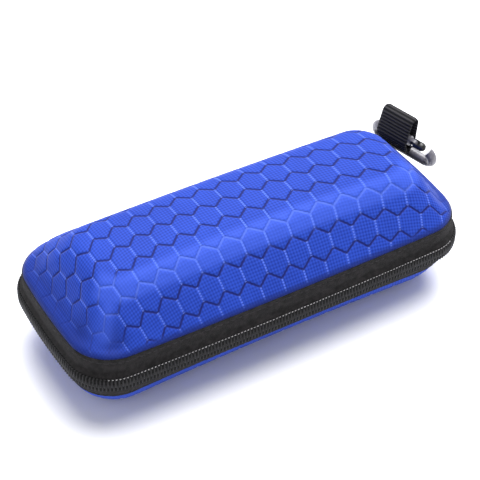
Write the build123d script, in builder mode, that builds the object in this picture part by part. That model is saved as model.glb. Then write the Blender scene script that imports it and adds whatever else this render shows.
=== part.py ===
"""Zip-around hard case for sunglasses: two moulded foam shells, covered and lined,
joined by a coil zip on three sides and a fabric hinge along the back.

Millimetres, +Z up. The origin is the middle of the flat underside, +X runs along the
case towards the webbing loop, -Y is the front and +Y the hinge side.
"""

import os
from math import atan2, cos, radians, sin

from build123d import *

# Overall shape, measured at the outer face of the zip coil
half_length = 84.2
half_width = 36.8
corner_radius = 15.5
corner_taper = 0.3
end_bow_radius = 300.0
side_bow_radius = 2700.0
zip_height = 22.0
lid_height = 30.7

# Layers of each shell, from the outside in
cover_thickness = 0.75
core_thickness = 3.0
lining_thickness = 0.6

# Zip chain and its tapes
tape_inset = 2.2
tape_width = 10.8
tape_edge = 1.9
seam_allowance = 5.0
coil_pitch = 1.34
coil_wire = 0.5
coil_face = 0.1
coil_back = tape_inset - 0.08
coil_half_width = 3.0
coil_bar = 1.25
coil_reach = 0.9
chain_part = 1.6

# Back hinge, and where the chain ends beside it
hinge_half = 36.0
hinge_gap = 0.6
chain_end = 40.0
stop_length = 2.4
stop_width = 1.8
stop_thickness = 1.3

# Zip slider, parked on the back beside the hinge
slider_x = 50.5
slider_length = 11.0
slider_run = 5.0
slider_clearance = 0.22
plate_thickness = 1.2
flange_thickness = 0.7
post_width = 0.9
post_length = 2.6
bail_length = 7.0
bail_wire = 1.3
bail_room = 1.9
pull_length = 23.0
pull_width = 6.4
pull_thickness = 1.3
pull_rail = 1.6
pull_window = 5.6

# Webbing loop sewn into the seam above the right-hand end of the upper tape
webbing_width = 15.0
webbing_thickness = 1.2
loop_turn = 15.0
loop_y = 18.5
loop_tail = 4.0
loop_skin = 0.4
loop_seam_gap = 0.16
loop_fold_radius = 2.7
loop_fold_out = 3.4
loop_fold_up = 12.6
loop_bar_out = 2.0
loop_bar_up = 5.3

# Snap hook hanging in the loop: distances along it are from the loop's middle
hook_bar = 4.2
hook_spacing = 8.4
hook_rear = 6.5
hook_front = 13.5
hook_nose_angle = 50.0
hook_lean = 19.0
loop_clearance = 0.35
gate_bar = 3.8
gate_tip = 14.9
gate_clearance = 0.3
gate_pivot = webbing_width / 2 + gate_bar / 2 + 0.1
tab_thickness = 1.4
pin_radius = 0.7
pin_clearance = 0.05


def outline(side_inset, end_inset, radius, waist=0.0):
    """A rounded rectangle with bowed sides, inset from the coil's outline."""
    x = half_length - end_inset
    y = half_width - side_inset
    x_corner = x - y**2 / (2 * end_bow_radius)
    y_corner = y - x**2 / (2 * side_bow_radius)
    y_middle = y - waist
    with BuildSketch() as shape:
        with BuildLine():
            ThreePointArc((-x_corner, -y_corner), (0, -y_middle), (x_corner, -y_corner))
            ThreePointArc((x_corner, -y_corner), (x, 0), (x_corner, y_corner))
            ThreePointArc((x_corner, y_corner), (0, y_middle), (-x_corner, y_corner))
            ThreePointArc((-x_corner, y_corner), (-x, 0), (-x_corner, -y_corner))
        make_face()
        fillet(shape.vertices(), radius)
    return shape.sketch


# Walls of the two shells: distance in from the coil and away from the zip's plane.
# The lid leans in at about 50 degrees to a soft edge and a nearly flat top.
lid_profile = [
    (tape_inset, -1.0),
    (tape_inset, 1.5),
    (tape_inset, 4.0),
    (tape_inset, 6.5),
    (tape_inset + 0.3, tape_width),
    (6.1, lid_height - 15.1),
    (10.1, lid_height - 10.7),
    (14.5, lid_height - 6.6),
    (half_width - 18.0, lid_height - 2.7),
    (half_width - 14.9, lid_height - 1.3),
    (half_width - 9.2, lid_height - 0.4),
]
lid_end_share = 0.933

# The base tucks under sooner, and below its straight rim is drawn in a little at mid-length.
straight_wall = 5.3
base_profile = [
    (tape_inset, -1.0),
    (tape_inset, 1.5),
    (tape_inset, 3.5),
    (tape_inset, straight_wall),
    (4.3, tape_width),
    (5.9, zip_height - 7.7),
    (8.4, zip_height - 4.2),
    (12.4, zip_height - 1.5),
    (half_width - 20.3, zip_height - 0.3),
    (half_width - 16.8, zip_height),
]
base_waist = 2.8


def slopes(profile):
    """Slope of the wall above the horizontal at each point of a profile, in radians."""
    found = []
    for k in range(len(profile)):
        before = profile[max(k - 1, 0)]
        after = profile[min(k + 1, len(profile) - 1)]
        found.append(atan2(after[1] - before[1], after[0] - before[0]))
    return found


def nested_sections(profile, depth):
    """The profile moved inwards by a depth, square to the wall."""
    moved = []
    for (inset, height), slope in zip(profile, slopes(profile)):
        drop = depth * cos(slope) if height > tape_width - seam_allowance else 0.0
        if height == profile[-1][1]:
            drop = depth
        moved.append((inset + depth * sin(slope), height - drop))
    return moved


def wall_section(inset, height, upwards):
    """Outline of one half at a distance in from the coil and away from the zip's plane."""
    share = lid_end_share if upwards else 1.0
    end_inset = tape_inset + share * (inset - tape_inset)
    radius = max(corner_radius - corner_taper * inset, 4.0)
    tucked = min(max((height - straight_wall) / (tape_width - straight_wall), 0.0), 1.0)
    waist = 0.0 if upwards else base_waist * tucked
    with BuildSketch(Plane.XY.offset(zip_height + height if upwards else zip_height - height)) as section:
        add(outline(inset, end_inset, radius, waist))
    return section.sketch


def half_shell(profile, depth, upwards):
    """Solid bounded by one half's outer surface, moved inwards by a depth."""
    with BuildPart() as solid:
        for inset, height in nested_sections(profile, depth):
            add(wall_section(inset, height, upwards))
        loft()
    return solid.part


def shell_layer(solids, index, low, high):
    """The layer between two nested solids, cut off level at two heights."""
    with BuildPart() as layer:
        add(solids[index])
        split(bisect_by=Plane.XY.offset(low), keep=Keep.TOP)
        split(bisect_by=Plane.XY.offset(high), keep=Keep.BOTTOM)
        add(solids[index + 1], mode=Mode.SUBTRACT)
    return layer.part


def back_block(x_low, x_high, low, high):
    """A block behind the case's middle, between two places along it and two heights."""
    with BuildPart(Plane((x_low, 0, low))) as block:
        Box(x_high - x_low, 2 * half_width, high - low, align=(Align.MIN, Align.MIN, Align.MIN))
    return block.part


def finish(part, name):
    """Label a finished piece and write it."""
    part.label = name
    export_step(part, f"parts/{name}.step")


os.makedirs("parts", exist_ok=True)

layer_depths = [
    0.0,
    cover_thickness,
    cover_thickness + core_thickness,
    cover_thickness + core_thickness + lining_thickness,
]
lid_solids = [half_shell(lid_profile, depth, True) for depth in layer_depths]
base_solids = [half_shell(base_profile, depth, False) for depth in layer_depths]

lid_top = zip_height + lid_height
upper_seam = zip_height + tape_width
lower_seam = zip_height - tape_width
lid_rim = upper_seam - seam_allowance
base_rim = lower_seam + seam_allowance

# Webbing loop: both plies come out of the seam over the upper tape, their ends sewn in behind it
out_x = cos(radians(loop_turn))
out_y = sin(radians(loop_turn))
seam_inset = tape_inset + 0.3
seam_end_inset = tape_inset + lid_end_share * 0.3
seam_outline = outline(seam_inset, seam_end_inset, corner_radius - corner_taper * seam_inset)
seam_reach = seam_outline.rotate(Axis.Z, -loop_turn).bounding_box().max.X + loop_seam_gap
seam_slide = (seam_reach * out_y - loop_y) / out_x
loop_seat = Vector(out_x, out_y, 0) * seam_reach + Vector(out_y, -out_x, 0) * seam_slide
loop_frame = Plane(loop_seat + Vector(0, 0, upper_seam), x_dir=(out_x, out_y, 0), z_dir=(out_y, -out_x, 0))
bar_room = hook_bar / 2 + loop_clearance
two_plies = 2 * webbing_thickness


def loop_hull(shrink):
    """Outline of the loop seen along its hole, shrunk by a thickness."""
    with BuildSketch() as hull:
        with Locations((webbing_thickness, 0)):
            Circle(webbing_thickness - 0.98 * shrink)
        with Locations((loop_bar_out, loop_bar_up)):
            Circle(bar_room + webbing_thickness - shrink)
        with Locations((loop_fold_out, loop_fold_up)):
            Circle(loop_fold_radius - shrink)
        make_hull()
    return hull.sketch


def seam_pocket(front):
    """Room for the loop's sewn ends, from inside the core out to a distance before it."""
    with BuildPart() as pocket:
        with BuildSketch(loop_frame):
            with Locations((front, two_plies)):
                Rectangle(front + loop_skin + two_plies, two_plies + loop_tail, align=(Align.MAX, Align.MAX))
        extrude(amount=webbing_width / 2, both=True)
    return pocket.part


with BuildPart() as webbing_loop:
    with BuildSketch(loop_frame):
        add(loop_hull(0))
        with Locations((webbing_thickness, 0)):
            Rectangle(webbing_thickness + loop_skin + two_plies, two_plies, align=(Align.MAX, Align.MIN))
        with Locations((-loop_skin, two_plies)):
            Rectangle(two_plies, loop_tail + two_plies, align=(Align.MAX, Align.MAX))
        add(loop_hull(webbing_thickness), mode=Mode.SUBTRACT)
    extrude(amount=webbing_width / 2, both=True)
finish(webbing_loop.part, "webbing_loop")

# Lid: woven cover, foam core and knitted lining, one inside the other
finish(shell_layer(lid_solids, 0, upper_seam, lid_top + 1) - seam_pocket(two_plies), "lid_cover")
finish(shell_layer(lid_solids, 1, lid_rim, lid_top + 1) - seam_pocket(two_plies), "lid_core")
finish(shell_layer(lid_solids, 2, lid_rim, lid_top + 1), "lid_lining")

# Base: the same three layers, shallower, with a flat underside
finish(shell_layer(base_solids, 0, -1, lower_seam), "base_cover")
finish(shell_layer(base_solids, 1, -1, base_rim), "base_core")
finish(shell_layer(base_solids, 2, -1, base_rim), "base_lining")

# Zip tapes: each is sewn over its shell's rim and runs on towards the chain.
# Beside the hinge, a stretch of the upper tape stays in the slider with the base.
slider_zone_high = slider_x + slider_length / 2 + 1.5
hinge_cut = hinge_half + hinge_gap

with BuildPart() as upper_zip_tape:
    add(shell_layer(lid_solids, 0, zip_height + tape_edge, upper_seam))
    add(back_block(-hinge_cut, hinge_cut, zip_height, lid_top), mode=Mode.SUBTRACT)
    add(back_block(hinge_half, slider_zone_high, zip_height, lid_rim), mode=Mode.SUBTRACT)
    add(seam_pocket(-loop_skin), mode=Mode.SUBTRACT)
finish(upper_zip_tape.part, "upper_zip_tape")

with BuildPart() as held_zip_tape:
    add(shell_layer(lid_solids, 0, zip_height + tape_edge, lid_rim))
    add(back_block(hinge_cut, slider_zone_high - hinge_gap, zip_height, lid_top), mode=Mode.INTERSECT)
finish(held_zip_tape.part, "held_zip_tape")

with BuildPart() as lower_zip_tape:
    add(shell_layer(base_solids, 0, lower_seam, zip_height - tape_edge))
    add(back_block(-hinge_cut, hinge_cut, 0, zip_height), mode=Mode.SUBTRACT)
finish(lower_zip_tape.part, "lower_zip_tape")

# Fabric hinge: one strip across the gap, sewn over both rims at the back
inside_lid = split(lid_solids[1], bisect_by=Plane.XY.offset(zip_height), keep=Keep.TOP)
inside_base = split(base_solids[1], bisect_by=Plane.XY.offset(zip_height), keep=Keep.BOTTOM)
with BuildPart() as hinge_strip:
    for inset, height in reversed(base_profile[1:6]):
        add(wall_section(inset, height, False))
    for inset, height in lid_profile[1:6]:
        add(wall_section(inset, height, True))
    loft()
    add(back_block(-hinge_half, hinge_half, lower_seam, upper_seam), mode=Mode.INTERSECT)
    add(inside_lid, mode=Mode.SUBTRACT)
    add(inside_base, mode=Mode.SUBTRACT)
finish(hinge_strip.part, "hinge_strip")

# Places along the coil, evenly spaced round the outline
coil_line = outline(0, 0, corner_radius).face().outer_wire()
tooth_count = round(coil_line.length / coil_pitch)


def along_coil(share):
    """Frame on the coil's outer face: x along the coil, y inwards, z up."""
    return Plane(coil_line.position_at(share), x_dir=coil_line.tangent_at(share), z_dir=(0, 0, 1))


def coil_stations(shift, keep):
    """Frames one pitch apart round the zip, where a rule on their place keeps them."""
    frames = [along_coil((k + shift) / tooth_count) for k in range(tooth_count)]
    return [frame for frame in frames if keep(frame.origin.X, frame.origin.Y)]


def coil_bar_band(direction, lift, x_low, x_high, inside):
    """The bar that joins the teeth, inside or outside a stretch of the back."""
    level = zip_height + direction * (coil_half_width - coil_bar + lift)
    cut = Mode.INTERSECT if inside else Mode.SUBTRACT
    with BuildPart() as bar:
        with BuildSketch(Plane.XY.offset(level)):
            add(outline(coil_face, coil_face, corner_radius - coil_face))
            add(outline(coil_back, coil_back, corner_radius - coil_back), mode=Mode.SUBTRACT)
            with Locations(((x_low + x_high) / 2, half_width)):
                Rectangle(x_high - x_low, half_width, mode=cut)
        extrude(amount=direction * coil_bar)
    return bar.part


def coil_teeth(frames, direction, lift):
    """Teeth from the bar to just past the middle of the chain, one at each frame."""
    tip_level = zip_height + direction * (lift - coil_reach)
    middle = (coil_face + coil_back) / 2
    places = [frame.location * Location((0, middle)) for frame in frames]
    with BuildPart() as teeth:
        with BuildSketch(Plane.XY.offset(tip_level)):
            with Locations(*places):
                Rectangle(coil_wire, coil_back - coil_face)
        extrude(amount=direction * (coil_reach + coil_half_width - coil_bar))
    return teeth.part


part_end = slider_x + 0.5


def beside_hinge(x, y):
    """Along the back, where the hinge leaves no chain."""
    return y > 0 and -chain_end < x < chain_end


def in_parted_chain(x, y):
    """Between the chain's end and the slider's middle, where the halves are apart."""
    return y > 0 and chain_end < x < part_end


def in_slider_zone(x, y):
    """The stretch of the back that the slider covers on its run."""
    return y > 0 and chain_end < x < slider_zone_high


upper_frames = coil_stations(0.25, lambda x, y: not beside_hinge(x, y) and not in_slider_zone(x, y))
held_frames = coil_stations(0.25, lambda x, y: in_slider_zone(x, y) and not in_parted_chain(x, y))
upper_parted = coil_stations(0.25, in_parted_chain)
lower_frames = coil_stations(0.75, lambda x, y: not beside_hinge(x, y) and not in_parted_chain(x, y))
lower_parted = coil_stations(0.75, in_parted_chain)


def write_coil(name, pieces):
    """Write one run of coil: its bars and its teeth, sewn to the same tape."""
    export_step(Compound(label=name, children=pieces), f"parts/{name}.step")


upper_pieces = [coil_bar_band(1, 0, -chain_end, slider_zone_high, False)]
upper_pieces += list(coil_teeth(upper_frames, 1, 0).solids())
write_coil("upper_coil", upper_pieces)

held_pieces = [coil_bar_band(1, 0, part_end, slider_zone_high - hinge_gap, True)]
held_pieces += [coil_bar_band(1, chain_part, chain_end, part_end, True)]
held_pieces += list(coil_teeth(held_frames, 1, 0).solids())
held_pieces += list(coil_teeth(upper_parted, 1, chain_part).solids())
write_coil("held_coil", held_pieces)

lower_pieces = [coil_bar_band(-1, 0, -chain_end, part_end, False)]
lower_pieces += [coil_bar_band(-1, chain_part, chain_end, part_end, True)]
lower_pieces += list(coil_teeth(lower_frames, -1, 0).solids())
lower_pieces += list(coil_teeth(lower_parted, -1, chain_part).solids())
write_coil("lower_coil", lower_pieces)


def back_frame(x):
    """Frame on the coil's outer face at the back: x towards the hinge, y up, z outwards."""
    lean = x / side_bow_radius
    y = half_width - x**2 / (2 * side_bow_radius)
    return Plane((x, y, zip_height), x_dir=(-1, lean, 0), z_dir=(lean, 1, 0))


def end_stop(x, side):
    """A small moulded stop on the tape's face, just past the last tooth."""
    middle = side * (tape_edge + stop_width / 2)
    frame = back_frame(x)
    with BuildPart() as stop:
        with BuildSketch(frame.offset(-coil_back)):
            with Locations((0, middle)):
                RectangleRounded(stop_length, stop_width, 0.3)
        extrude(amount=stop_thickness)
        fillet(stop.faces().sort_by(Axis(frame.origin, frame.z_dir))[-1].edges(), 0.25)
    return stop.part


stop_x = chain_end - hinge_gap / 2 - stop_length / 2
finish(end_stop(-stop_x, 1), "upper_end_stop")
finish(end_stop(stop_x, 1), "held_end_stop")
lower_stops = Compound(label="lower_end_stops", children=[end_stop(-stop_x, -1), end_stop(stop_x, -1)])
export_step(lower_stops, "parts/lower_end_stops.step")

# Zip slider: two plates round the chain, joined by the post between the parted halves
slider_frame = back_frame(slider_x)
tape_back = tape_inset + cover_thickness
plate_seat = slider_clearance - coil_face
flange_inner = coil_half_width + chain_part + slider_clearance
slider_half = flange_inner + flange_thickness
inner_half = tape_width - seam_allowance - 2 * hinge_gap

with BuildPart() as zip_slider:
    with BuildSketch(slider_frame.offset(plate_seat)):
        RectangleRounded(slider_length, 2 * slider_half, 2.0)
    extrude(amount=plate_thickness)
    outer_face = zip_slider.faces().sort_by(Axis(slider_frame.origin, slider_frame.z_dir))[-1]
    chamfer(outer_face.edges(), plate_thickness * 0.7)
    with BuildSketch(slider_frame.offset(plate_seat)):
        with GridLocations(0, 2 * flange_inner + flange_thickness, 1, 2):
            Rectangle(slider_length - 4.0, flange_thickness)
    extrude(amount=-(plate_seat + tape_inset - slider_clearance))
    with BuildSketch(slider_frame.offset(-tape_back - slider_clearance)):
        RectangleRounded(slider_length, 2 * inner_half, 2.0)
    extrude(amount=-plate_thickness)
    with BuildSketch(slider_frame.offset(plate_seat)):
        with Locations((slider_length / 2 - post_length / 2 - 0.5, 0)):
            SlotOverall(post_length, post_width)
    extrude(amount=-(plate_seat + tape_back + slider_clearance))
    bail_level = plate_seat + plate_thickness
    with BuildSketch(slider_frame.offset(bail_level)):
        with GridLocations(bail_length - bail_wire, 0, 2, 1):
            Rectangle(bail_wire, bail_wire)
    extrude(amount=bail_room + bail_wire / 2)
    with BuildSketch(slider_frame.offset(bail_level + bail_room)):
        Rectangle(bail_length, bail_wire)
    extrude(amount=bail_wire * 0.75)
finish(zip_slider.part, "zip_slider")

# Pull: a tab whose round cross-bar turns under the bail
pull_axis_level = bail_level + bail_room / 2
pull_frame = slider_frame.offset(pull_axis_level - pull_thickness / 2)
with BuildPart() as slider_pull:
    with BuildSketch(pull_frame):
        with Locations((pull_length / 2, 0)):
            SlotOverall(pull_length, pull_width)
        with Locations((0, 0)):
            Rectangle(pull_width, pull_width, mode=Mode.SUBTRACT)
        with Locations((pull_window / 2, 0)):
            Rectangle(pull_window, pull_width, mode=Mode.ADD)
        with Locations((pull_window / 2, 0)):
            Rectangle(pull_window, pull_width - 2 * pull_rail, mode=Mode.SUBTRACT)
        with Locations((pull_length - pull_width / 2, 0)):
            Circle(pull_rail / 2 + 0.4, mode=Mode.SUBTRACT)
    extrude(amount=pull_thickness)
    bar_start = slider_frame.offset(pull_axis_level)
    bar_foot = bar_start.origin - bar_start.y_dir * (pull_width / 2)
    with BuildSketch(Plane(bar_foot, x_dir=bar_start.x_dir, z_dir=bar_start.y_dir)):
        Circle(pull_thickness / 2)
    extrude(amount=pull_width)
finish(slider_pull.part, "slider_pull")

# Snap hook: a bent bar with a gap that the gate closes
bar_place = loop_frame.origin + loop_frame.x_dir * loop_bar_out + Vector(0, 0, loop_bar_up)
hook_out = loop_frame.x_dir * -cos(radians(hook_lean)) - Vector(0, 0, sin(radians(hook_lean)))
hook_plane = Plane(bar_place, x_dir=loop_frame.z_dir, z_dir=hook_out)
gate_rear = gate_pivot - gate_bar / 2 - gate_clearance
turn = hook_spacing / 2
nose = radians(hook_nose_angle)

with BuildPart() as hook_frame:
    with BuildLine(hook_plane) as hook_path:
        Line((gate_rear, 0), (-hook_rear, 0))
        ThreePointArc((-hook_rear, 0), (-hook_rear - turn, -turn), (-hook_rear, -hook_spacing))
        Line((-hook_rear, -hook_spacing), (hook_front, -hook_spacing))
        nose_end = (hook_front + turn * cos(nose), -turn + turn * sin(nose))
        ThreePointArc((hook_front, -hook_spacing), (hook_front + turn, -turn), nose_end)
    start = hook_path.line @ 0
    with BuildSketch(Plane(start, z_dir=hook_path.line % 0)):
        Circle(hook_bar / 2)
    sweep()
    with BuildSketch(hook_plane.offset(-tab_thickness / 2)):
        with Locations(((gate_pivot + gate_rear - 1) / 2, 0)):
            Rectangle(gate_pivot - gate_rear + 1, gate_bar - 2 * gate_clearance)
        with Locations((gate_pivot, 0)):
            Circle(gate_bar / 2 - gate_clearance)
        with Locations((gate_pivot, 0)):
            Circle(pin_radius + pin_clearance, mode=Mode.SUBTRACT)
    extrude(amount=tab_thickness)
finish(hook_frame.part, "hook_frame")

with BuildPart() as hook_gate:
    with BuildSketch(hook_plane.offset(-gate_bar / 2)):
        with Locations((gate_pivot, 0)):
            Circle(gate_bar / 2)
        with Locations(((gate_pivot + gate_tip) / 2, 0)):
            Rectangle(gate_tip - gate_pivot, gate_bar)
    extrude(amount=gate_bar)
    side_faces = hook_gate.faces().filter_by(Axis(hook_plane.origin, hook_plane.z_dir))
    fillet(side_faces.edges(), gate_bar * 0.22)
    with BuildSketch(hook_plane.offset(-tab_thickness / 2 - gate_clearance)):
        with Locations((gate_pivot, 0)):
            Rectangle(gate_bar + 2 * gate_clearance, gate_bar)
    extrude(amount=tab_thickness + 2 * gate_clearance, mode=Mode.SUBTRACT)
    with BuildSketch(hook_plane.offset(-gate_bar / 2)):
        with Locations((gate_pivot, 0)):
            Circle(pin_radius + pin_clearance)
    extrude(amount=gate_bar, mode=Mode.SUBTRACT)
finish(hook_gate.part, "hook_gate")

with BuildPart() as gate_pin:
    with BuildSketch(hook_plane.offset(-gate_bar / 2)):
        with Locations((gate_pivot, 0)):
            Circle(pin_radius)
    extrude(amount=gate_bar)
finish(gate_pin.part, "gate_pin")
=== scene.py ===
from math import atan2, ceil, cos, pi, radians, sin

import bmesh
import bpy
import numpy as np
from mathutils import Matrix, Vector


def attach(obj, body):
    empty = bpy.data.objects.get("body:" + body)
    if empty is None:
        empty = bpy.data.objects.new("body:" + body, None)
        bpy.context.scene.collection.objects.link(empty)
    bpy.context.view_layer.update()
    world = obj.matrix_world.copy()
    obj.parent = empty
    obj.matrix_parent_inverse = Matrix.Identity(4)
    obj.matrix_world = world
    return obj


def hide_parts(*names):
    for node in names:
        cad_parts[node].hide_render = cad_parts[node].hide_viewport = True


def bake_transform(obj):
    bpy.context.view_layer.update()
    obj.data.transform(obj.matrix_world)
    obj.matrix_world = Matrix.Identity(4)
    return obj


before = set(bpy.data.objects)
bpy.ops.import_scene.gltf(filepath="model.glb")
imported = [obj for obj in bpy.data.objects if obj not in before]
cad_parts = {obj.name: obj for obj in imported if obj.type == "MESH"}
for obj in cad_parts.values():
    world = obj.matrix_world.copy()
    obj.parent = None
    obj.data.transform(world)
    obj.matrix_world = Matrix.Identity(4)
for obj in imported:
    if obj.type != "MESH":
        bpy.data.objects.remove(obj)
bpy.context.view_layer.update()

# Millimetres, as in the part's source: the case's outline and the walls of its two halves.
halfLength, halfWidth, cornerRadius, cornerTaper, leastRadius = 84.0, 36.8, 17.3, 0.36, 4.0
endBow, sideBow, lidEndShare, straightWall = 300.0, 2700.0, 0.933, 5.3
zipHeight, tapeInset, tapeWidth, tapeEdge = 22.0, 2.2, 10.8, 1.9
rimHeight, baseWaist, seamHeight, ribPitch = 5.8, 2.8, 9.2, 1.35
coverDepth, coreDepth, liningDepth = 0.75, 3.75, 4.35
coilPitch, coilFace = 1.34, 0.1
hingeHalf, hingeGap, chainEnd, sliderX, sliderEnd = 36.0, 0.6, 40.0, 50.5, 57.5

# Each half's wall, as insets from the outline and heights from the middle of the zip
lidProfile = [(2.2, -1.0), (2.2, 1.5), (2.2, 4.0), (2.2, 6.5), (2.5, 10.8), (6.1, 15.6), (10.1, 20.0),
              (14.5, 24.1), (18.8, 28.0), (21.9, 29.4), (27.6, 30.3)]
baseProfile = [(2.2, -1.0), (2.2, 1.5), (2.2, 3.5), (2.2, 5.3), (4.3, 10.8), (5.9, 14.3), (8.4, 17.8),
               (12.4, 20.5), (16.5, 21.7), (20.0, 22.0)]

# The pressed hexagons on the flat cloth: a cell's width, the rows' spacing, how far a zigzag
# rises, the share of that height that is square to a slanting edge, and where cells begin.
hexPitch, hexRow, hexRise, hexSlant = 9.45, 9.13, 3.72, 0.79
hexPhase, lidFirstRow, baseFirstRow = 2.71, 6.2, -52.0

# Columns of a mesh on a quarter of the outline: along the side, round the corner, along the end.
fineCounts, coarseCounts = (98, 40, 28), (44, 18, 12)
stripCounts, threadCounts = (96, 30, 20), (400, 160, 120)
coverStep, layerStep, topmost = 0.65, 1.6, 99
metres = 0.001


def smooth(low, high, value):
    """A soft step from 0 at low to 1 at high."""
    t = np.clip((value - low) / (high - low), 0, 1)
    return t * t * (3 - 2 * t)


def tucked(height):
    """How much of the base's waist a height below the zip has."""
    return np.clip((height - straightWall) / (tapeWidth - straightWall), 0, 1)


def quarterRing(x, y, radius, waist, counts):
    """Points and normals from the middle of the back to the middle of the right end."""
    cornerX, cornerY = x - y * y / (2 * endBow), y - x * x / (2 * sideBow)
    sag, middle = y - waist - cornerY, y - waist
    sideR = (cornerX ** 2 + sag ** 2) / (2 * sag)
    bulge = x - cornerX
    endR = (cornerY ** 2 + bulge ** 2) / (2 * bulge)
    sideC, endC = np.array([0.0, middle - sideR]), np.array([x - endR, 0.0])
    d1, d2 = abs(sideR - radius), endR - radius
    apart = np.linalg.norm(endC - sideC)
    along = (d1 ** 2 - d2 ** 2 + apart ** 2) / (2 * apart)
    off = np.sqrt(max(d1 ** 2 - along ** 2, 0))
    unit = (endC - sideC) / apart
    found = [sideC + unit * along + s * off * np.array([-unit[1], unit[0]]) for s in (1, -1)]
    corner = max(found, key=lambda p: p[0] + p[1])
    touchSide = sideC + (corner - sideC) * sideR / (sideR - radius)
    touchEnd = endC + (corner - endC) * endR / (endR - radius)
    xs = np.linspace(0, touchSide[0], counts[0] + 1)
    side = np.stack([xs, sideC[1] + np.sign(sideR) * np.sqrt(sideR ** 2 - xs ** 2)], 1)
    a, b = (atan2(*(p - corner)[::-1]) for p in (touchSide, touchEnd))
    turn = np.linspace(a, b, counts[1] + 1)[1:]
    round_ = corner + radius * np.stack([np.cos(turn), np.sin(turn)], 1)
    ys = np.linspace(touchEnd[1], 0, counts[2] + 1)[1:]
    end = np.stack([endC[0] + np.sqrt(endR ** 2 - ys ** 2), ys], 1)
    normals = np.concatenate([(side - sideC) / sideR, (round_ - corner) / radius, (end - endC) / endR])
    return np.concatenate([side, round_, end]), normals


def ring(inset, endInset, radius, waist, counts):
    """Points and normals once round a section, from the back's middle over the right end."""
    points, normals = quarterRing(halfLength - endInset, halfWidth - inset, radius, waist, counts)
    whole = []
    for values in (points, normals):
        quarters = [values[:-1]]
        quarters.append((values * [1, -1])[::-1][:-1])
        quarters.append((values * [-1, -1])[:-1])
        quarters.append((values * [-1, 1])[::-1][:-1])
        whole.append(np.concatenate(quarters))
    return whole


def runAlong(line):
    """The distance from a line's first point to each of its points."""
    return np.concatenate([[0], np.cumsum(np.linalg.norm(np.diff(line, axis=0), axis=1))])


def hermite(points, places):
    """A smooth curve through points, read at distances along them."""
    p = np.array(points, float)
    t = runAlong(p)
    m = np.zeros_like(p)
    m[1:-1] = (p[2:] - p[:-2]) / (t[2:] - t[:-2])[:, None]
    m[0], m[-1] = (p[1] - p[0]) / (t[1] - t[0]), (p[-1] - p[-2]) / (t[-1] - t[-2])
    q = np.asarray(places, float) * t[-1]
    i = np.clip(np.searchsorted(t, q, side="right") - 1, 0, len(t) - 2)
    h = (t[i + 1] - t[i])[:, None]
    u = ((q - t[i]) / h[:, 0])[:, None]
    return ((2 * u ** 3 - 3 * u ** 2 + 1) * p[i] + (u ** 3 - 2 * u ** 2 + u) * h * m[i]
            + (3 * u ** 2 - 2 * u ** 3) * p[i + 1] + (u ** 3 - u ** 2) * h * m[i + 1])


def wallLine(profile, depth, low, high, step):
    """The wall's line (inset, height) at a depth inside it, between two heights, evenly spaced."""
    line = hermite(profile, np.linspace(0, 1, 1200))
    slope = np.arctan2(*np.gradient(line, axis=0).T[::-1])
    drop = depth * np.cos(slope) * smooth(rimHeight - 1, rimHeight + 1, line[:, 1])
    top = smooth(profile[-1][1] - 1.5, profile[-1][1], line[:, 1])
    drop = drop * (1 - top) + depth * top
    line = np.stack([line[:, 0] + depth * np.sin(slope), line[:, 1] - drop], 1)
    keep = (line[:, 1] >= low) & (line[:, 1] <= high)
    line = line[keep]
    run = runAlong(line)
    places = np.linspace(0, run[-1], max(2, ceil(run[-1] / step) + 1))
    return np.stack([np.interp(places, run, line[:, k]) for k in (0, 1)], 1)


def sections(line, upwards, counts):
    """Rows of points (mm) and the plan normals for each inset and height of a wall's line."""
    rows, normals = [], []
    for inset, height in line:
        share = lidEndShare if upwards else 1.0
        waist = 0.0 if upwards else baseWaist * tucked(height)
        endInset = tapeInset + share * (inset - tapeInset)
        radius = max(cornerRadius - cornerTaper * inset, leastRadius)
        points, normal = ring(inset, endInset, radius, waist, counts)
        level = zipHeight + height if upwards else zipHeight - height
        rows.append(np.column_stack([points, np.full(len(points), level)]))
        normals.append(normal)
    return np.array(rows), np.array(normals)


def closing(rows, crown, steps, upwards):
    """Rows that close a half over its middle line, rising by a crown."""
    last = rows[-1]
    reach = last[:, 0].max() - last[:, 1].max()
    foot = np.stack([np.clip(last[:, 0], -reach, reach), np.zeros(len(last)), last[:, 2]], 1)
    more = []
    for t in np.linspace(0, 1, steps + 1)[1:]:
        row = foot + (1 - t) * (last - foot)
        row[:, 2] += (1 if upwards else -1) * crown * (1 - (1 - t) ** 2)
        more.append(row)
    return np.array(more)


def newPiece(name, mesh):
    """An object in the scene for a mesh, shaded smooth."""
    mesh.polygons.foreach_set("use_smooth", [True] * len(mesh.polygons))
    item = bpy.data.objects.new(name, mesh)
    bpy.context.scene.collection.objects.link(item)
    return item


def gridMesh(name, rows, closed=True, uv=None, facts=None, extra=()):
    """A mesh from rows of points in mm; closed joins each row's end to its start."""
    rows = np.asarray(rows, float)
    m, n = rows.shape[:2]
    mesh = bpy.data.meshes.new(name)
    index = np.arange(m * n).reshape(m, n)
    right = np.roll(index, -1, 1) if closed else index[:, 1:]
    left = index if closed else index[:, :-1]
    faces = np.stack([left[:-1], right[:-1], right[1:], left[1:]], -1).reshape(-1, 4)
    mesh.from_pydata(list(map(tuple, rows.reshape(-1, 3) * metres)), [], faces.tolist() + list(extra))
    if uv is not None:
        layer = mesh.uv_layers.new(name="fabric")
        flat = np.asarray(uv, float).reshape(-1, 2)
        loops = np.zeros(len(mesh.loops), int)
        mesh.loops.foreach_get("vertex_index", loops)
        layer.data.foreach_set("uv", flat[loops].ravel())
    for key, values in (facts or {}).items():
        attribute = mesh.attributes.new(key, "FLOAT", "POINT")
        attribute.data.foreach_set("value", np.asarray(values, np.float32).ravel())
    return newPiece(name, mesh)


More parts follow.
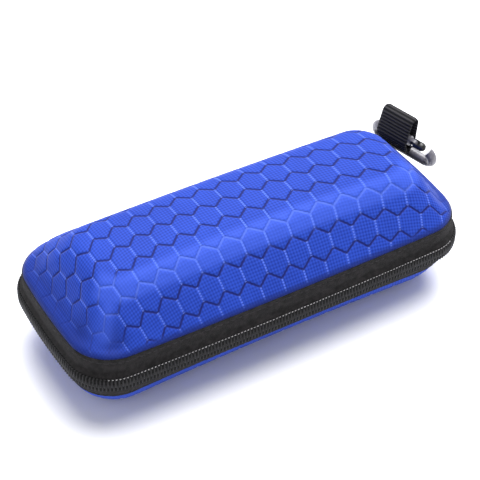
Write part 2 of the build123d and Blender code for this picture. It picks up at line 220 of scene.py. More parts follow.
def tidyMesh(item, merge=0.00002):
    """Merge doubled points and turn every face outwards."""
    bm = bmesh.new()
    bm.from_mesh(item.data)
    bmesh.ops.remove_doubles(bm, verts=bm.verts, dist=merge)
    bmesh.ops.recalc_face_normals(bm, faces=bm.faces)
    bm.to_mesh(item.data)
    bm.free()
    return item


def surfaceNormals(rows):
    """Unit normals of a grid of points whose rows are closed."""
    along = np.roll(rows, -1, 1) - np.roll(rows, 1, 1)
    up = np.gradient(rows, axis=0)
    normals = np.cross(along, up)
    length = np.linalg.norm(normals, axis=2, keepdims=True)
    return normals / np.maximum(length, 1e-9)


def hexGap(a, b, start):
    """Distances in the fabric's plane to the nearest slanting and nearest straight edge of a cell."""
    j = np.floor((b - start) / hexRow)
    f = ((a - hexPhase) / hexPitch + 0.5 * (1 - np.mod(j, 2))) % 1
    rise = hexRise * (1 - 2 * np.abs(f - 0.5))
    r = (b - start) - j * hexRow
    slant = np.minimum(np.abs(r - rise), hexRow + hexRise - rise - r) * hexSlant
    straight = hexPitch * np.where(r > rise, np.abs(f - 0.5), 0.5 - np.abs(f - 0.5))
    return slant, straight


def addNode(tree, kind, sockets=(), **settings):
    """A shader node with its settings, then a value or a link for each of the sockets given."""
    item = tree.nodes.new(kind)
    for key, value in settings.items():
        setattr(item, key, value)
    for key, value in dict(sockets).items():
        if isinstance(value, Wire):
            tree.links.new(value.socket, item.inputs[key])
        else:
            item.inputs[key].default_value = value
    return item


class Wire:
    """A shader socket that can be used in sums."""

    def __init__(self, tree, socket):
        self.tree, self.socket = tree, socket

    def math(self, operation, *values):
        item = addNode(self.tree, "ShaderNodeMath", enumerate(values), operation=operation)
        return Wire(self.tree, item.outputs[0])

    def __add__(self, other): return self.math("ADD", self, other)
    def __sub__(self, other): return self.math("SUBTRACT", self, other)
    def __rsub__(self, other): return self.math("SUBTRACT", other, self)
    def __mul__(self, other): return self.math("MULTIPLY", self, other)
    def __truediv__(self, other): return self.math("DIVIDE", self, other)
    def sine(self): return self.math("SINE", self)
    def floor(self): return self.math("FLOOR", self)
    def fract(self): return self.math("FRACT", self)
    def size(self): return self.math("ABSOLUTE", self)
    def least(self, other): return self.math("MINIMUM", self, other)
    def most(self, other): return self.math("MAXIMUM", self, other)
    def above(self, other): return self.math("GREATER_THAN", self, other)

    def fade(self, low, high):
        """A soft step from 0 at low to 1 at high."""
        item = addNode(self.tree, "ShaderNodeMapRange", enumerate((self, low, high, 0.0, 1.0)),
                       interpolation_type="SMOOTHSTEP")
        return Wire(self.tree, item.outputs[0])

    def blend(self, first, second):
        """A colour between two, each of them a wire or three numbers."""
        colors = [value if isinstance(value, Wire) else (*value, 1.0) for value in (first, second)]
        item = addNode(self.tree, "ShaderNodeMix", {0: self, 6: colors[0], 7: colors[1]}, data_type="RGBA")
        return Wire(self.tree, item.outputs[2])


class Paint:
    """A material with one Principled shader and helpers for its inputs."""

    def __init__(self, name, color, roughness, **sockets):
        self.material = bpy.data.materials.new(name)
        self.material.use_nodes = True
        self.tree = self.material.node_tree
        self.shader = self.tree.nodes["Principled BSDF"]
        self.shader.inputs["Base Color"].default_value = (*color, 1.0)
        self.shader.inputs["Roughness"].default_value = roughness
        for key, value in sockets.items():
            self.shader.inputs[key.replace("_", " ")].default_value = value

    def wire(self, kind, output, sockets=(), **settings):
        """One output of a new node."""
        return Wire(self.tree, addNode(self.tree, kind, sockets, **settings).outputs[output])

    def coordinate(self, output):
        return self.wire("ShaderNodeTexCoord", output)

    def split(self, vector):
        node = addNode(self.tree, "ShaderNodeSeparateXYZ", {0: vector})
        return [Wire(self.tree, socket) for socket in node.outputs]

    def fact(self, name):
        return self.wire("ShaderNodeAttribute", "Fac", attribute_name=name)

    def noise(self, where, scale, detail=3.0):
        return self.wire("ShaderNodeTexNoise", "Fac", {"Vector": where, "Scale": scale, "Detail": detail})

    def feed(self, name, wire):
        self.tree.links.new(wire.socket, self.shader.inputs[name])

    def bump(self, height, distance, strength):
        sockets = {"Distance": distance, "Strength": strength, "Height": height}
        self.feed("Normal", self.wire("ShaderNodeBump", 0, sockets))


def wave(wire, pitch):
    """A sine along a coordinate that repeats at a pitch."""
    return (wire * (2 * pi / pitch)).sine()


def coverPaint(name, start, low, high, shade):
    """Blue woven cover pressed with hexagons, with painted shade in its slanting grooves and a painted
    highlight, pale and dotted, on its straight ones.

    It is painted paler where the mesh marks a painted highlight, and shade says how dark a painted
    shade gets where nothing is pressed.
    """
    paint = Paint(name, (0.02, 0.05, 0.5), 0.72, Sheen_Weight=0.1, Sheen_Roughness=0.4,
                  Sheen_Tint=(0.6, 0.7, 1.0, 1.0), Specular_IOR_Level=0.2)
    u, v, _ = paint.split(paint.coordinate("UV"))
    j = ((v - start) / hexRow).floor()
    parity = (j / 2).fract() * 2
    f = ((u - hexPhase) / hexPitch + (1 - parity) * 0.5).fract()
    middle = (f - 0.5).size()
    rise = (1 - middle * 2) * hexRise
    r = (v - start) - j * hexRow
    slant = (r - rise).size().least((rise * -1) + (hexRow + hexRise) - r) * hexSlant
    upper = r.above(rise)
    straight = (upper * middle + (1 - upper) * (0.5 - middle)) * hexPitch
    shown = paint.fact("pressed")
    paintedHighlight = paint.fact("paintedHighlight")
    groove = (1 - slant.fade(0.22, 0.58)) * shown
    dots = (wave(v, 1.05) * 0.5 + 0.5).fade(0.15, 0.6)
    seam = (1 - straight.fade(0.2, 0.55)) * shown
    weave = wave(u, 1.2) * 0.5 + wave(v, 1.25) * 0.5
    mottle = paint.noise(paint.coordinate("Object"), 60.0)
    color = (mottle * 0.35 + weave * 0.32 + 0.28).fade(0.15, 0.75).blend(low, high)
    # Painted shade: a darker blue where the pattern fades, at the ends' rims and in the hollows
    color = ((1 - shown) * shade).blend(color, (0.002, 0.012, 0.13))
    # Painted highlight: a paler blue below the top's front edge and at the left front corner
    color = (paintedHighlight * 0.55).blend(color, (0.045, 0.10, 0.58))
    # Painted shade in the slanting grooves, weaker in the pale band below the top's front edge; then painted
    # highlights on the straight grooves and on all grooves in that band
    dark = groove * (1 - paintedHighlight * 0.75)
    color = (dark * 0.92).blend(color, (0.002, 0.006, 0.10))
    light = (seam * (dots * 0.75 + 0.15)).most(groove * paintedHighlight * 0.55).most(seam * paintedHighlight * 0.5)
    color = (light * 0.62).blend(color, (0.12, 0.21, 0.80))
    paint.feed("Base Color", color)
    soft = slant.least(straight).fade(0.0, 1.1) * shown
    paint.bump(soft * 0.22 + weave * 0.12 - groove * 0.5 - seam * 0.18, 0.0004, 0.8)
    return paint.material


def tapePaint(name):
    """Black woven zip tape with a fine twill."""
    pitch = 0.62
    paint = Paint(name, (0.022, 0.020, 0.021), 0.9, Sheen_Weight=0.03, Sheen_Roughness=0.5,
                  Specular_IOR_Level=0.2)
    u, v, _ = paint.split(paint.coordinate("UV"))
    twill = wave(u + v, pitch)
    cross = wave(v - u * 0.3, pitch * 0.9)
    mottle = paint.noise(paint.coordinate("Object"), 500.0)
    shade = (twill * cross * 0.3 + mottle).fade(0.25, 0.85)
    paint.feed("Base Color", shade.blend((0.004, 0.004, 0.004), (0.027, 0.024, 0.025)))
    paint.bump(twill * cross * 0.5 + mottle * 0.5, 0.0002, 0.6)
    return paint.material


def plainPaint(name, low, high, roughness, scale, depth, **sockets):
    """One colour with a little grain in colour, gloss and relief."""
    paint = Paint(name, high, roughness, **sockets)
    grain = paint.noise(paint.coordinate("Object"), scale, 4.0)
    paint.feed("Base Color", grain.fade(0.3, 0.7).blend(low, high))
    paint.feed("Roughness", grain * 0.16 + (roughness - 0.08))
    paint.bump(grain, depth, 0.5)
    return paint.material


def knitPaint(name):
    """Black brushed knit of the lining."""
    paint = Paint(name, (0.02, 0.02, 0.022), 0.95, Sheen_Weight=0.4, Sheen_Roughness=0.6)
    x, y, z = paint.split(paint.coordinate("Object"))
    ribs = wave(x + z * 0.2, 0.0009) * wave(y + z, 0.0011)
    nap = paint.noise(paint.coordinate("Object"), 900.0)
    shade = (ribs * 0.25 + nap).fade(0.2, 0.9)
    paint.feed("Base Color", shade.blend((0.010, 0.010, 0.011), (0.035, 0.034, 0.036)))
    paint.bump(ribs * 0.4 + nap * 0.6, 0.0002, 0.5)
    return paint.material


def webPaint(name):
    """Black ribbed webbing."""
    paint = Paint(name, (0.02, 0.02, 0.021), 0.8, Sheen_Weight=0.03, Sheen_Roughness=0.5,
                  Specular_IOR_Level=0.2)
    u, v, _ = paint.split(paint.coordinate("UV"))
    rib = wave(v, ribPitch) * 0.5 + 0.5
    thread = wave(u, 0.7) * 0.5 + 0.5
    shade = (rib * 0.75 + thread * 0.25).fade(0.1, 0.95)
    paint.feed("Base Color", shade.blend((0.004, 0.004, 0.005), (0.034, 0.032, 0.036)))
    paint.bump(rib + thread * 0.25, 0.0003, 0.7)
    return paint.material


print("stage: shells")


def makeCover(name, profile, upwards, crown, start, dents=()):
    """A half's woven cover: pressed relief outside, edges turned in at the seam.

    Each dent is the place of its middle in plan (x, y), how far it reaches and its depth.
    """
    line = wallLine(profile, 0, tapeWidth, topmost, coverStep)
    rows, normals = sections(line, upwards, fineCounts)
    more = closing(rows, crown, 15, upwards)
    whole = np.concatenate([rows, more])

    # Places on the flat cloth: the walls folded out, then drawn out of true towards the ends
    fabric = whole[..., :2].copy()
    for axis in (0, 1):
        edge = rows[..., axis].max(1)
        column = rows[0, :, axis].argmax()
        down = np.linalg.norm(np.diff(rows[:, column], axis=0), axis=1)[::-1].cumsum()[::-1]
        fabric[:len(rows), :, axis] *= ((edge[-1] + np.append(down, 0)) / edge)[:, None]
    away = np.abs(whole[..., 0]) - 18
    fabric[..., 1] += np.where(whole[..., 0] < 0, 0.0038, 0.003) * np.maximum(away, 0) ** 2
    fabric[..., 0] = np.log1p(0.00171 * fabric[..., 0]) / 0.00178

    # Hollows at the ends and in the front corner, by the distance up from the seam
    run = np.zeros(whole.shape[:2])
    run[1:] = np.cumsum(np.linalg.norm(np.diff(whole, axis=0), axis=2), axis=0)
    facing = np.concatenate([normals, np.repeat(normals[-1:], len(more), 0)])
    ends = smooth(0.55, 0.95, np.abs(facing[..., 0]))
    sunk = 1.5 * ends * smooth(1, 6, run) * (1 - smooth(9, 19, run))
    flattened = np.zeros_like(run)
    for x, y, reach, deep in dents:
        hollow = 1 - smooth(0, reach, np.hypot(whole[..., 0] - x, whole[..., 1] - y))
        sunk += deep * hollow * smooth(0.5, 4, run)
        flattened = np.maximum(flattened, hollow)
    sunk *= upwards

    # The pressed pattern, weaker near the seam, at the ends and in the hollow; where it is weak,
    # the lid's colour also gets a painted shade
    slant, straight = hexGap(fabric[..., 0], fabric[..., 1], start)
    if upwards:
        pressed = smooth(0.8, 3.0, run) * (1 - 0.75 * ends * (1 - smooth(2, 14, run)))
    else:
        pressed = smooth(3, 8, run)
    pressed *= 1 - 0.8 * flattened
    relief = 0.22 * (1 - smooth(0.0, 1.1, np.minimum(slant, straight))) * pressed
    out = surfaceNormals(whole)
    if out[len(line) // 2, 0, 1] < 0:
        out = -out
    flat = smooth(len(rows) + 11, len(rows) + 15, np.arange(len(whole)))[:, None]
    out = out * (1 - flat[..., None]) + np.array([0, 0, 1.0 if upwards else -1.0]) * flat[..., None]
    shaped = whole - out * (relief + sunk)[..., None]
    if not upwards:
        shaped[..., 2] = np.maximum(shaped[..., 2], 0.02)
    inner, _ = sections(wallLine(profile, coverDepth, tapeWidth, topmost, coverStep)[:3], upwards, fineCounts)
    shaped = np.concatenate([[inner[0] + (inner[2] - inner[0])], [inner[0]], shaped])

    def pad(grid):
        """Repeat the first row for the two rows of the turned edge."""
        return np.concatenate([grid[:1], grid[:1], grid])

    # Painted highlight: paler cloth below the top's front edge and down the left front corner, where light
    # falls
    paintedHighlight = smooth(17.5, 21.5, run) * (1 - smooth(27, 32, run)) * smooth(0.1, 0.6, -facing[..., 1])
    corner = np.exp(-((facing[..., 0] + 0.62) / 0.2) ** 2) * smooth(3, 8, run) * (1 - smooth(20, 26, run))
    paintedHighlight = np.maximum(paintedHighlight, 0.8 * corner * (whole[..., 1] < 0)) * upwards
    item = gridMesh(name, shaped, uv=pad(fabric), facts={"pressed": pad(pressed), "paintedHighlight": pad(paintedHighlight)})
    return tidyMesh(item)


def makeLayer(name, profile, outer, inner, low, crown, upwards, lip=None):
    """A closed layer of a half between two depths; a lip covers the rim outside it."""
    faces = []
    for depth in (outer, inner):
        rows, _ = sections(wallLine(profile, depth, low, topmost, layerStep), upwards, coarseCounts)
        faces.append(np.concatenate([rows, closing(rows, crown, 5, upwards)]))
    shell = np.concatenate([faces[0][::-1], faces[1]])
    if lip is not None:
        lipLine = wallLine(profile, lip, low, topmost, layerStep)[:1]
        ringOut, _ = sections(lipLine, upwards, coarseCounts)
        drop = np.array([0, 0, -0.35 if upwards else 0.35])
        ringIn = faces[1][:1] + drop * 0.9
        shell = np.concatenate([faces[0][::-1], ringOut, ringOut + drop, ringIn, faces[1]])
    return tidyMesh(gridMesh(name, shell), 0.00001)


frontLine = wallLine(lidProfile, 0, tapeWidth, topmost, coverStep)
frontRun = np.sum(np.linalg.norm(np.diff(frontLine, axis=0), axis=1)) + halfWidth - frontLine[-1][0]
lidStart = -frontRun + lidFirstRow
lidDents = [(-70, -29, 9, 1.7), (-80, -18, 9, 0.5)]
lidCover = makeCover("lidCover", lidProfile, True, 0.4, lidStart, lidDents)
baseCover = makeCover("baseCover", baseProfile, False, 0.0, baseFirstRow)
lidCore = makeLayer("lidCore", lidProfile, coverDepth + 2.5, coreDepth, rimHeight, 0.35, True)
baseCore = makeLayer("baseCore", baseProfile, coverDepth + 0.3, coreDepth, rimHeight, 0.0, False)
liningOuter = coreDepth + 0.02
lidLining = makeLayer("lidLining", lidProfile, liningOuter, liningDepth, rimHeight, 0.3, True, coverDepth)
baseLining = makeLayer("baseLining", baseProfile, liningOuter, liningDepth, rimHeight, 0.0, False, coverDepth)

print("stage: tapes")


def tapeLine(profile):
    """Outer line of a tape from its edge by the chain to the seam: bead, stitch dips and binding."""
    heights = np.array([tapeEdge, 2.1, 2.5, 3.0, 3.6, 4.4, 5.4, 6.4, 7.4, 8.4,
                        9.0, 9.3, 9.6, 9.9, 10.2, 10.5, 10.75])
    line = hermite(profile, np.linspace(0, 1, 1200))
    inset = np.interp(heights, line[:, 1], line[:, 0])
    relief = 0.14 * smooth(seamHeight, seamHeight + 0.5, heights)
    relief -= 0.12 * np.exp(-((heights - seamHeight) / 0.25) ** 2)
    relief += 1.15 * smooth(4.7, 3.2, heights) * smooth(1.9, 2.9, heights)
    return np.stack([inset - relief, heights], 1)


def cappedStrip(name, rows, uv):
    """A mesh from rows that close on the first one, with a face over each end."""
    m, n = rows.shape[:2]
    caps = [[k * n for k in range(m - 1)], [k * n + n - 1 for k in range(m - 1)]]
    return tidyMesh(gridMesh(name, rows, closed=False, uv=uv, extra=caps))


def makeStrip(name, loop, upwards, keep):
    """A strip round the case with a closed outline (inset, height), where keep says so."""
    rows, _ = sections(loop, upwards, stripCounts)
    places = rows[0][:, :2]
    chosen = keep(places[:, 0], places[:, 1])
    first = int(np.flatnonzero(chosen & ~np.roll(chosen, 1))[0])
    order = np.roll(np.arange(len(places)), -first)
    order = order[chosen[order]]
    run = runAlong(places[order])
    shell = rows[:, order]
    uv = np.stack(np.broadcast_arrays(run[None, :], loop[:, 1:]), -1)
    return cappedStrip(name, shell, uv)


def makeTape(name, profile, upwards, keep):
    """A length of zip tape, bound over the shell's rim."""
    outer = tapeLine(profile)
    inner = outer[::-1] + [coverDepth - 0.02, 0]
    return makeStrip(name, np.concatenate([outer, inner, outer[:1]]), upwards, keep)


def outsideHinge(x, y):
    """Places in plan that the hinge strip doesn't cover."""
    return (y < 0) | (np.abs(x) > hingeHalf + hingeGap)


def outsideSlider(x, y):
    """Places of the closed chain, from the slider round the front to the far end stops."""
    return (y < 0) | (x < -chainEnd) | (x > sliderEnd)


upperTape = makeTape("upperTape", lidProfile, True, outsideHinge)
lowerTape = makeTape("lowerTape", baseProfile, False, outsideHinge)

# Fabric hinge across the back
hingeLevels = np.concatenate([np.linspace(-10.7, -3.5, 9), np.linspace(-3.0, 3.0, 13),
                              np.linspace(3.5, 10.7, 9)])
across = np.linspace(-hingeHalf, hingeHalf, 49)


def hingeGrid(depth):
    """The hinge strip's face at a depth inside the walls' outer faces."""
    rows = []
    for h in hingeLevels:
        profile = lidProfile if h > 0 else baseProfile
        line = hermite(profile, np.linspace(0, 1, 600))
        inset = np.interp(abs(h), line[:, 1], line[:, 0]) + depth
        waist = 0 if h > 0 else baseWaist * tucked(-h) * (1 - (across / 80) ** 2)
        y = halfWidth - inset - waist - across ** 2 / (2 * sideBow)
        rows.append(np.stack([across, y, np.full(len(across), zipHeight + h)], 1))
    return np.array(rows)


hingeRows = np.concatenate([hingeGrid(0), hingeGrid(coverDepth)[::-1], hingeGrid(0)[:1]])
hingeUv = np.stack(np.broadcast_arrays(across[None, :], hingeRows[:, :1, 2]), -1)
hingeStrip = cappedStrip("hingeStrip", hingeRows, hingeUv)


def makeGusset(name, low, high):
    """A small tongue of tape behind the slot between the hinge strip and the chain's end."""
    place = np.linspace(low, high, 5)
    levels = zipHeight + np.linspace(-2.6, 2.6, 9)
    faces = []
    for depth in (tapeInset + coverDepth + 0.05, tapeInset + coverDepth + 0.45):
        y = halfWidth - depth - place ** 2 / (2 * sideBow)
        faces.append(np.array([np.stack([place, y, np.full(len(place), level)], 1) for level in levels]))
    rows = np.concatenate([faces[0], faces[1][::-1], faces[0][:1]])
    uv = np.stack(np.broadcast_arrays(place[None, :], rows[:, :1, 2]), -1)
    return cappedStrip(name, rows, uv)


leftGusset = makeGusset("leftGusset", -40.2, -35.0)
rightGusset = makeGusset("rightGusset", 35.0, 39.2)

print("stage: coil")
points, normals = ring(coilFace, coilFace, cornerRadius - coilFace, 0.0, threadCounts)
total = runAlong(points)[-1] + np.linalg.norm(points[0] - points[-1])
toothCount = round(total / coilPitch)
hexagon = [(cos(k * pi / 3), sin(k * pi / 3)) for k in range(6)]


def placesOn(points, normals, where, keep):
    """Points and normals of a line at distances along it, as x, y, nx, ny, where keep says so."""
    far = runAlong(points)
    columns = [np.interp(where, far, values[:, k]) for values in (points, normals) for k in (0, 1)]
    chosen = keep(columns[0], columns[1])
    return [values[chosen] for values in columns]


def tubeMesh(name, verts, count):
    """A mesh of six-sided tubes that are all count rings long, from their points in mm."""
    faces = []
    for base in range(0, len(verts), 6 * count):
        for i in range(count - 1):
            for k in range(6):
                a, b = base + i * 6 + k, base + i * 6 + (k + 1) % 6
                faces.append((a, b, b + 6, a + 6))
        faces.append(tuple(base + k for k in range(6)))
        faces.append(tuple(base + (count - 1) * 6 + k for k in range(6)))
    mesh = bpy.data.meshes.new(name)
    mesh.from_pydata([tuple(c * metres for c in v) for v in verts], [], faces)
    return tidyMesh(newPiece(name, mesh), 0.000001)


def notRaised(x, y):
    """No lift at any place."""
    return 0.0 * x


def coilMesh(name, shift, direction, keep, lift=notRaised):
    """One half of the nylon coil: a round-headed turn of wire at every pitch, with its back bar."""
    where = (np.arange(toothCount) + shift) / toothCount * total
    x, y, nx, ny = placesOn(points, normals, where, keep)
    # A turn's places along the chain, up the tape and inwards, and the wire's radius there
    turn = np.array([(0.05, 2.85, 1.75, 0.26), (0.02, 2.75, 0.85, 0.27), (0.0, 2.2, 0.36, 0.27),
                     (0.03, 1.2, 0.24, 0.27), (0.06, 0.2, 0.22, 0.28), (0.08, -0.45, 0.34, 0.32),
                     (0.08, -0.78, 0.75, 0.34), (0.08, -0.72, 1.3, 0.32), (0.05, -0.2, 1.75, 0.26),
                     (0.02, 1.4, 1.85, 0.22)])
    tangent = np.gradient(turn[:, 1:3], axis=0)
    tangent /= np.linalg.norm(tangent, axis=1, keepdims=True)
    verts = []
    for px, py, ax, ay, up in zip(x, y, nx, ny, lift(x, y)):
        for (u, w, v, r), (tw, tv) in zip(turn, tangent):
            for c, s in hexagon:
                du, dw, dv = u + r * c, w + r * s * tv, v - r * s * tw
                level = zipHeight + direction * (dw + up)
                verts.append((px - ay * du - ax * dv, py + ax * du - ay * dv, level))
    return tubeMesh(name, verts, len(turn))


def alongFront(x, y):
    """Places on the front between the corners, where the coil's stitches get a painted highlight."""
    return (y < 0) & (np.abs(x) < 74)


def beyondHinge(x, y):
    """Places of the lower tape's chain, from one end stop round the front to the other."""
    return (y < 0) | (np.abs(x) > chainEnd)


def inSlider(x, y):
    """Places of the chain's stretch that stays with the slider."""
    return (y > 0) & (x > chainEnd) & (x < sliderEnd)


def partedHere(x, y):
    """How far a half stands off the middle between the chain's end and the slider."""
    return np.where((y > 0) & (x > 0) & (x < sliderX + 0.5), 1.6 * smooth(sliderX + 5, sliderX - 2, x), 0.0)


upperCoil = coilMesh("upperCoil", 0.25, 1, outsideSlider)
heldCoil = coilMesh("heldCoil", 0.25, 1, inSlider, partedHere)
lowerCoil = coilMesh("lowerCoil", 0.75, -1, beyondHinge, partedHere)
cordLoop = np.array([(0.40, 0.05), (0.32, 0.5), (0.32, 2.2), (0.62, 2.75),
                     (2.15, 2.75), (2.15, 0.05), (0.40, 0.05)])
upperCord = makeStrip("upperCord", cordLoop, True, outsideSlider)
lowerCord = makeStrip("lowerCord", cordLoop, False, outsideSlider)


def stitchMesh(name, line, spacing, length, radius, upwards, keep, lean=0.0):
    """A row of small thread stitches laid on a tape at one inset and height."""
    rows, rowNormals = sections(np.array([line]), upwards, threadCounts)
    level = rows[0][0, 2]
    where = np.arange(spacing / 2, runAlong(rows[0])[-1], spacing)
    x, y, nx, ny = placesOn(rows[0], rowNormals[0], where, keep)
    # A stitch's places along it, its thickness and its height there, as shares of its sizes
    stitch = ((-0.5, 0.3, -0.6), (-0.42, 0.8, 0.1), (0, 1.0, 0.45), (0.42, 0.8, 0.1), (0.5, 0.3, -0.6))
    verts = []
    for px, py, ax, ay in zip(x, y, nx, ny):
        for u, r, lift in stitch:
            for c, s in hexagon:
                out = radius * (lift + r * s)
                du = u * length * cos(lean) - r * radius * c * sin(lean)
                dw = r * radius * c * cos(lean) + u * length * sin(lean)
                verts.append((px - ay * du + ax * out, py + ax * du + ay * out, level + dw))
    return tubeMesh(name, verts, len(stitch))


def roundEnds(x, y):
    """Places of the closed chain round the ends and on the back."""
    return outsideSlider(x, y) & ~alongFront(x, y)


def overCoil(name, radius, upwards, keep):
    """A row of stitches that holds the coil to its tape, one leaning stitch for each turn."""
    return stitchMesh(name, (0.62, 2.88), coilPitch, 0.62, radius, upwards, keep, 0.25)


# One thread over the coil all round: painted pale on the front as a painted highlight, dark round the ends
coilStitch = overCoil("coilStitch", 0.18, True, alongFront)
endStitch = overCoil("endStitch", 0.16, True, roundEnds)
lowerCoilStitch = overCoil("lowerCoilStitch", 0.18, False, outsideSlider)


def seamStitch(name, profile, upwards):
    """The row of stitches that holds a tape to its shell."""
    inset = np.interp(seamHeight, *hermite(profile, np.linspace(0, 1, 600)).T[::-1])
    return stitchMesh(name, (inset + 0.02, seamHeight), 2.6, 1.9, 0.16, upwards, outsideHinge)


upperStitch = seamStitch("upperStitch", lidProfile, True)
lowerStitch = seamStitch("lowerStitch", baseProfile, False)

print("stage: webbing loop")
loopTurn = radians(15.0)
loopOut = Vector((cos(loopTurn), sin(loopTurn), 0))
loopWide = Vector((sin(loopTurn), -cos(loopTurn), 0))
loopSeat = Vector((81.7971, 18.5, zipHeight + tapeWidth))


def hullRing(circles, count):
    """The outline round a set of circles, evenly spaced, as points (out, up)."""
    angles = np.linspace(0, 2 * pi, 720, endpoint=False)
    circle = np.stack([np.cos(angles), np.sin(angles)], 1)
    cloud = np.concatenate([np.array([x, y]) + r * circle for x, y, r in circles])
    order = cloud[np.lexsort((cloud[:, 1], cloud[:, 0]))]

    def half(points):
        """One side of the hull of points that are in order."""
        kept = []
        for p in points:
            while len(kept) > 1 and np.cross(kept[-1] - kept[-2], p - kept[-2]) <= 0:
                kept.pop()
            kept.append(p)
        return kept[:-1]

    hull = np.array(half(order) + half(order[::-1]))
    hull = np.roll(hull, -int(hull[:, 1].argmin()), 0)
    loop = np.concatenate([hull, hull[:1]])
    far = runAlong(loop)
    where = np.linspace(0, far[-1], count, endpoint=False)
    return np.stack([np.interp(where, far, loop[:, k]) for k in (0, 1)], 1), where


# Round the seam, the hook's bar and the fold at the top: out, up and radius of each
barRoom, halfWebbing = 2.45, 0.6
middleLine, webRun = hullRing([(1.2, 0.0, 0.62), (2.0, 5.3, barRoom + halfWebbing), (3.4, 12.6, 2.1)], 160)
tangent = np.roll(middleLine, -1, 0) - np.roll(middleLine, 1, 0)
tangent /= np.linalg.norm(tangent, axis=1, keepdims=True)
outward = np.stack([tangent[:, 1], -tangent[:, 0]], 1)
ribs = 0.09 * np.sin(webRun * 2 * pi / ribPitch)
widths = np.linspace(-7.5, 7.5, 17)
webRows, webUv = [], []
for side in (1, -1):
    for w in (widths if side > 0 else widths[::-1]):
        edge = 1 - 0.55 * smooth(6.9, 7.5, abs(w))
        shell = middleLine + outward * ((0.52 * side * edge + ribs * side * edge)[:, None])
        webRows.append([loopSeat + loopOut * p[0] + Vector((0, 0, p[1])) + loopWide * w for p in shell])
        webUv.append(np.stack([np.full(len(webRun), w), webRun], 1))
webRows.append(webRows[0])
webUv.append(webUv[0])
webbingLoop = tidyMesh(gridMesh("webbingLoop", np.array(webRows), uv=np.array(webUv)), 0.00001)

print("stage: gate")
gatePivot, gateAlong = Vector((86.1877, 9.84134, 38.1)), loopWide
gateAxis = Vector((-0.913301, -0.244718, -0.325568))
gateUp = Vector((-0.314475, -0.084263, 0.945519))
gateRadius, gateReach, gateSides = 1.85, 3.55, 28
bend = np.linspace(-pi / 2, pi / 2, 9)
capsule = [(gateRadius * np.sin(a), gateRadius * np.cos(a)) for a in bend[:5]]
capsule += [(gateReach + gateRadius * np.sin(a), gateRadius * np.cos(a)) for a in bend[4:]]
capsule = [(s, max(r, 0.02)) for s, r in capsule]
gateRows = [[gatePivot + gateAlong * s + (gateAxis * np.cos(t) + gateUp * np.sin(t)) * r
             for t in np.linspace(0, 2 * pi, gateSides, endpoint=False)] for s, r in capsule]
gateCaps = [list(range(gateSides)), list(range(gateSides * (len(capsule) - 1), gateSides * len(capsule)))]
gateBar = tidyMesh(gridMesh("gateBar", gateRows, extra=gateCaps), 0.00001)

# The slot in the gate's pivot end, for the frame's tab
slotCorners = [(gatePivot + gateAlong * a + gateUp * b + gateAxis * c) * metres
               for a in (-3, 2.2) for b in (-3, 3) for c in (-1, 1)]
slotFaces = [(0, 1, 3, 2), (4, 6, 7, 5), (0, 4, 5, 1), (2, 3, 7, 6), (0, 2, 6, 4), (1, 5, 7, 3)]
slotMesh = bpy.data.meshes.new("slot")
slotMesh.from_pydata(slotCorners, [], slotFaces)
slotBlock = bpy.data.objects.new("slot", slotMesh)
bpy.context.scene.collection.objects.link(slotBlock)
tidyMesh(slotBlock)
cut = gateBar.modifiers.new("slot", "BOOLEAN")
cut.operation, cut.solver, cut.object = "DIFFERENCE", "EXACT", slotBlock
gateBar.data = bpy.data.meshes.new_from_object(gateBar.evaluated_get(bpy.context.evaluated_depsgraph_get()))
gateBar.modifiers.clear()
bpy.data.objects.remove(slotBlock)

print("stage: materials")
# One cloth on both halves: the lid's blues are set darker than the base's as a painted shade, and only the
# lid gets the painted shade where nothing is pressed
lidPaint = coverPaint("lidCoverFabric", lidStart, (0.004, 0.024, 0.24), (0.014, 0.054, 0.42), 0.85)
basePaint = coverPaint("baseCoverFabric", baseFirstRow, (0.010, 0.038, 0.32), (0.026, 0.082, 0.58), 0.0)
tape = tapePaint("zipTape")
knit = knitPaint("liningKnit")
web = webPaint("webbing")
coilNylon = plainPaint("coilNylon", (0.008, 0.008, 0.009), (0.022, 0.021, 0.023), 0.5, 900.0, 0.00005,
                       Specular_IOR_Level=0.3)
cordNylon = plainPaint("cordNylon", (0.003, 0.003, 0.003), (0.009, 0.009, 0.009), 0.8, 900.0, 0.00005,
                       Specular_IOR_Level=0.15)
# The coil's front stitches: the dark thread painted pale, a painted highlight
thread = plainPaint("threadPaintedHighlight", (0.26, 0.25, 0.26), (0.52, 0.50, 0.51), 0.7, 2500.0, 0.00005)
darkThread = plainPaint("darkThread", (0.012, 0.012, 0.013), (0.035, 0.034, 0.036), 0.8, 2500.0, 0.00005)
foam = plainPaint("foam", (0.012, 0.012, 0.013), (0.03, 0.03, 0.032), 0.95, 1500.0, 0.0002)
stopPlastic = plainPaint("stopPlastic", (0.015, 0.015, 0.016), (0.035, 0.035, 0.036), 0.4, 600.0, 0.00003)
sliderMetal = plainPaint("sliderMetal", (0.014, 0.014, 0.015), (0.03, 0.03, 0.032), 0.32, 350.0, 0.00003,
                         Coat_Weight=0.4)
hookMetal = plainPaint("hookMetal", (0.12, 0.115, 0.135), (0.18, 0.172, 0.195), 0.38, 300.0, 0.00003,
                       Coat_Weight=0.5)
gateMetal = plainPaint("gateMetal", (0.004, 0.004, 0.005), (0.012, 0.012, 0.013), 0.3, 300.0, 0.00003,
                       Coat_Weight=0.15)
pinSteel = plainPaint("pinSteel", (0.45, 0.45, 0.46), (0.6, 0.6, 0.61), 0.35, 500.0, 0.00003, Metallic=1.0)


def dress(item, material, slotName, body, *nodes):
    """Give a piece its material, let it ride on a body, and hide what it stands for; slotName is not used."""
    item.data.materials.clear()
    item.data.materials.append(material)
    if body:
        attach(item, body)
    if nodes:
        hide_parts(*nodes)


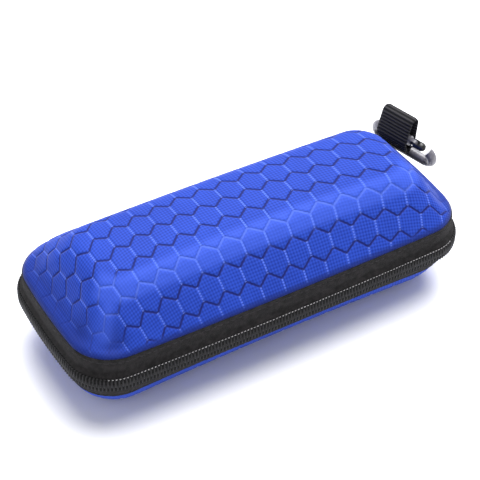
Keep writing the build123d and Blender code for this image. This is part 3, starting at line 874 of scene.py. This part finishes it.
dress(lidCover, lidPaint, "cover_fabric", "lid", "lid_cover")
dress(baseCover, basePaint, "cover_fabric", "base", "base_cover")
dress(lidCore, foam, "foam", "lid", "lid_core")
dress(baseCore, foam, "foam", "base", "base_core")
dress(lidLining, knit, "lining_fabric", "lid", "lid_lining")
dress(baseLining, knit, "lining_fabric", "base", "base_lining")
dress(upperTape, tape, "zip_tape", "lid", "upper_zip_tape", "held_zip_tape")
dress(lowerTape, tape, "zip_tape", "base", "lower_zip_tape")
dress(hingeStrip, tape, "zip_tape", None, "hinge_strip")
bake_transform(hingeStrip)
for gusset in (leftGusset, rightGusset):
    dress(gusset, tape, "zip_tape", None)
    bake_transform(gusset)
dress(upperCoil, coilNylon, "coil_nylon", "lid", "upper_coil")
dress(heldCoil, coilNylon, "coil_nylon", "base", "held_coil")
dress(lowerCoil, coilNylon, "coil_nylon", "base", "lower_coil")
dress(upperCord, cordNylon, "coil_nylon", "lid")
dress(lowerCord, cordNylon, "coil_nylon", "base")
dress(coilStitch, thread, "zip_tape", "lid")
dress(endStitch, darkThread, "zip_tape", "lid")
dress(lowerCoilStitch, darkThread, "zip_tape", "base")
dress(upperStitch, darkThread, "zip_tape", "lid")
dress(lowerStitch, darkThread, "zip_tape", "base")
dress(webbingLoop, web, "webbing", "lid", "webbing_loop")
dress(gateBar, gateMetal, "gate_metal", "gate", "hook_gate")

# Pieces that show their CAD shape, with the scene's materials
shownNodes = {"upper_end_stop": stopPlastic, "held_end_stop": stopPlastic, "lower_end_stops": stopPlastic,
              "zip_slider": sliderMetal, "slider_pull": sliderMetal,
              "hook_frame": hookMetal, "gate_pin": pinSteel}
for node, material in shownNodes.items():
    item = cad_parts[node]
    item.data.materials.clear()
    item.data.materials.append(material)

print("stage: floor, light and camera")
floorMesh = bpy.data.meshes.new("floor")
floorMesh.from_pydata([(-6, -6, 0), (6, -6, 0), (6, 6, 0), (-6, 6, 0)], [], [(0, 1, 2, 3)])
floor = bpy.data.objects.new("floor", floorMesh)
bpy.context.scene.collection.objects.link(floor)
floorMesh.materials.append(Paint("floorPaint", (0.96, 0.962, 1.0), 0.9, Specular_IOR_Level=0.1).material)

world = bpy.data.worlds.new("studio")
bpy.context.scene.world = world
world.use_nodes = True
world.node_tree.nodes["Background"].inputs["Color"].default_value = (0.96, 0.97, 1.0, 1.0)
world.node_tree.nodes["Background"].inputs["Strength"].default_value = 0.56


def addLight(name, place, size, power, color=(1, 1, 1)):
    """A round area light at a place, turned to the case's middle."""
    light = bpy.data.lights.new(name, "AREA")
    light.shape, light.size, light.energy, light.color = "DISK", size, power, color
    item = bpy.data.objects.new(name, light)
    item.location = place
    item.rotation_mode = "QUATERNION"
    item.rotation_quaternion = (Vector((0, 0, 0.02)) - Vector(place)).to_track_quat("-Z", "Y")
    bpy.context.scene.collection.objects.link(item)


addLight("overhead", (0.3, 0.2, 1.3), 1.4, 31.0)
addLight("behind", (0.55, 0.9, 0.95), 1.0, 11.0)
addLight("leftSoft", (-0.9, -0.5, 0.9), 0.8, 1.2, (0.95, 0.97, 1.0))

# The camera, as fitted to the photo's outline
azimuth, elevation, roll = radians(32.19), radians(42.34), radians(1.78)
forward = Vector((sin(azimuth) * cos(elevation), cos(azimuth) * cos(elevation), -sin(elevation)))
right = Vector((cos(azimuth), -sin(azimuth), 0))
up = right.cross(forward)
side, top = right * cos(roll) + up * sin(roll), up * cos(roll) - right * sin(roll)
cameraData = bpy.data.cameras.new("camera")
cameraData.lens, cameraData.sensor_width = 109.07, 36.0
cameraData.shift_x, cameraData.shift_y = -0.00485, 0.0287
camera = bpy.data.objects.new("camera", cameraData)
cameraPlace, cameraTurn = (-0.21756, -0.34561, 0.39672), Matrix((side, top, -forward)).transposed()
camera.matrix_world = Matrix.Translation(cameraPlace) @ cameraTurn.to_4x4()
bpy.context.scene.collection.objects.link(camera)
bpy.context.scene.camera = camera
bpy.context.scene.view_settings.view_transform = "Standard"
